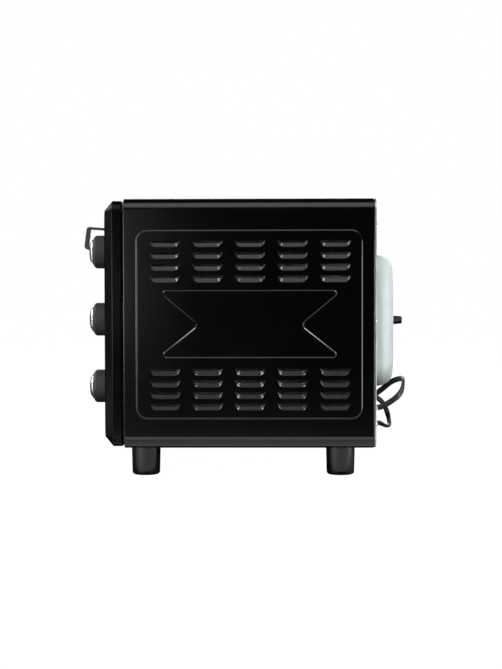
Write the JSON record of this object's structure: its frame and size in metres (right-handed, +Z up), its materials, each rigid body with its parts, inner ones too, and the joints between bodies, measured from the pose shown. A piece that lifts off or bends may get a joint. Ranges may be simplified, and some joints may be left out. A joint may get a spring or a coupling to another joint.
{
  "type": "toaster oven",
  "caption": "Countertop convection toaster oven with a louvred black casing, drop-down glass door, control knobs, wire rack, crumb tray and a rear fan cover.",
  "frame": {"origin": "on the table, under the middle of the oven without its cord", "axes": "+Z up, +X to the right seen from the front, the door faces -Y"},
  "size_m": [0.5088, 0.437, 0.337],
  "materials": {
    "casing_paint": "satin black powder coat",
    "frame_plastic": "satin black moulding",
    "panel_plastic": "fine satin black",
    "knob_plastic": "fine matt dark grey",
    "chrome_trim": "bright polished",
    "sheet_steel": "plain rolled, slightly spangled",
    "cavity_steel": "satin rolled",
    "cover_paint": "pale grey satin paint",
    "door_glass": "dark tinted tempered",
    "handle_metal": "dark satin anodised",
    "element_steel": "heat darkened",
    "rack_chrome": "plated wire",
    "tray_aluminium": "plain rolled",
    "foot_plastic": "satin black moulding",
    "control_body": "moulded phenolic",
    "cord_rubber": "matt black flexible jacket",
    "plug_plastic": "moulded black",
    "blade_brass": "plain",
    "lens_red": "clear red",
    "motor_steel": "plated laminations"
  },
  "bodies": {
    "oven": {"outer_casing": "casing_paint", "base_plate": "sheet_steel", "back_panel": "sheet_steel", "front_frame": "frame_plastic", "control_panel": "panel_plastic", "indicator_lens": "lens_red", "thermostat": "control_body", "function_selector": "control_body", "timer": "control_body", "cavity_left_wall": "cavity_steel", "cavity_right_wall": "cavity_steel", "cavity_roof": "cavity_steel", "cavity_rear_wall": "cavity_steel", "cavity_floor": "cavity_steel", "cavity_front_flange": "cavity_steel", "tray_guide_left": "sheet_steel", "tray_guide_right": "sheet_steel", "heating_element_upper_front": "element_steel", "heating_element_upper_rear": "element_steel", "heating_element_lower_front": "element_steel", "heating_element_lower_rear": "element_steel", "fan_guard": "cavity_steel", "fan_motor": "motor_steel", "motor_bracket": "sheet_steel", "convection_cover": "cover_paint", "wall_spacer": "foot_plastic", "foot_front_right": "foot_plastic", "foot_front_left": "foot_plastic", "foot_rear_right": "foot_plastic", "foot_rear_left": "foot_plastic", "terminal_block": "control_body", "strain_relief": "cord_rubber", "power_cord": "cord_rubber", "cord_hank": "cord_rubber", "cord_tie": "plug_plastic", "plug_body": "plug_plastic", "plug_blade_front": "blade_brass", "plug_blade_rear": "blade_brass"},
    "door": {"door_frame": "casing_paint", "door_glass": "door_glass", "door_handle": "handle_metal", "hinge_pin_left": "sheet_steel", "hinge_pin_right": "sheet_steel"},
    "rack": {"wire_rack": "rack_chrome"},
    "tray": {"crumb_tray": "tray_aluminium"},
    "fan": {"convection_fan": "sheet_steel", "fan_shaft": "sheet_steel"},
    "temperature_control": {"temperature_knob": "knob_plastic", "temperature_knob_ring": "chrome_trim", "temperature_shaft": "sheet_steel"},
    "function_control": {"function_knob": "knob_plastic", "function_knob_ring": "chrome_trim", "function_shaft": "sheet_steel"},
    "timer_control": {"timer_knob": "knob_plastic", "timer_knob_ring": "chrome_trim", "timer_shaft": "sheet_steel"}
  },
  "joints": [
    {"name": "door_hinge", "type": "hinge", "parent": "oven", "child": "door", "pos_m": [-0.05675, -0.1617, 0.0687], "axis": [1, 0, 0], "range_deg": [0, 90]},
    {"name": "rack_slide", "type": "slide", "parent": "oven", "child": "rack", "axis": [0, -1, 0], "range_m": [0, 0.085]},
    {"name": "tray_slide", "type": "slide", "parent": "oven", "child": "tray", "axis": [0, -1, 0], "range_m": [0, 0.19]},
    {"name": "temperature_turn", "type": "hinge", "parent": "oven", "child": "temperature_control", "pos_m": [0.18, -0.17, 0.2749], "axis": [0, 1, 0], "range_deg": [0, 300]},
    {"name": "function_turn", "type": "hinge", "parent": "oven", "child": "function_control", "pos_m": [0.18, -0.17, 0.1906], "axis": [0, 1, 0], "range_deg": [0, 270]},
    {"name": "timer_turn", "type": "hinge", "parent": "oven", "child": "timer_control", "pos_m": [0.18, -0.17, 0.1067], "axis": [0, 1, 0], "range_deg": [0, 330]},
    {"name": "fan_spin", "type": "hinge", "parent": "oven", "child": "fan", "pos_m": [-0.055, 0.12, 0.1853], "axis": [0, 1, 0], "continuous": true}
  ],
  "couplings": [
    {"joint": "rack_slide", "follows": "door_hinge", "m_per_rad": 0.054}
  ]
}
